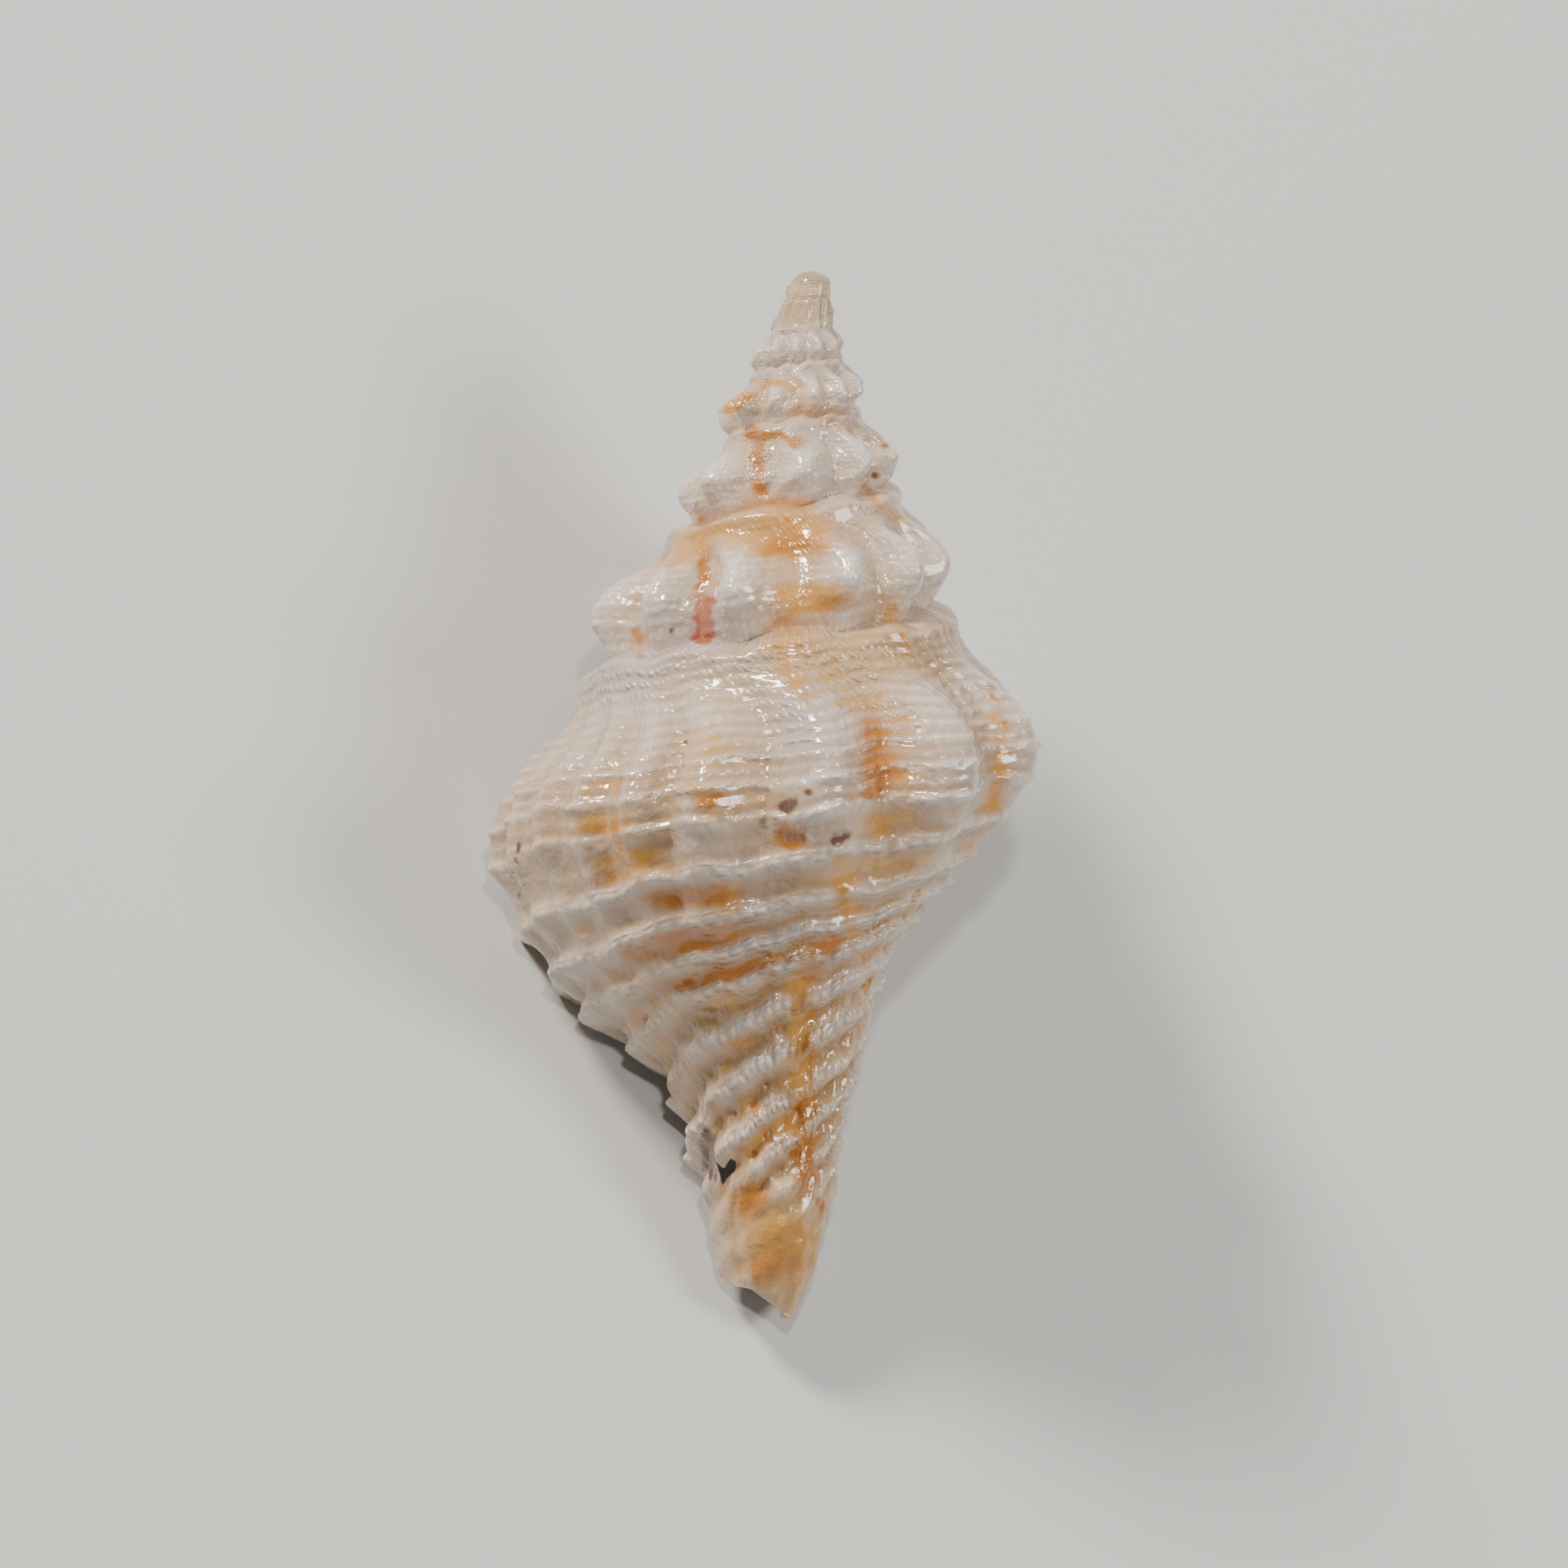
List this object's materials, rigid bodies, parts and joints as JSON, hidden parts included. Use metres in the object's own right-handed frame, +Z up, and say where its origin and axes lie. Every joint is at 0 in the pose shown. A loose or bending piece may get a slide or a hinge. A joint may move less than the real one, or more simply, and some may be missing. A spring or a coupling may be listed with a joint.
{
  "type": "spindle shell",
  "caption": "Spindle-shaped sea snail shell with a tall stepped spire, ribbed and corded whorls, an open mouth and a long open canal, lying mouth down.",
  "frame": {"origin": "centre of the shell's footprint box, on the surface it lies on", "axes": "+Y from the canal's end towards the tip of the spire, level, along the length of the lying shell; +Z up from the surface, so the back of the last turn is up and the mouth is down; +X to the right when seen from above with the spire away from the viewer"},
  "size_m": [0.019, 0.0346, 0.0152],
  "materials": {
    "shell": "glossy chalky white and lavender shell with cream, ochre and rust-brown stains"
  },
  "bodies": {
    "root": {"shell": "shell"}
  },
  "joints": []
}
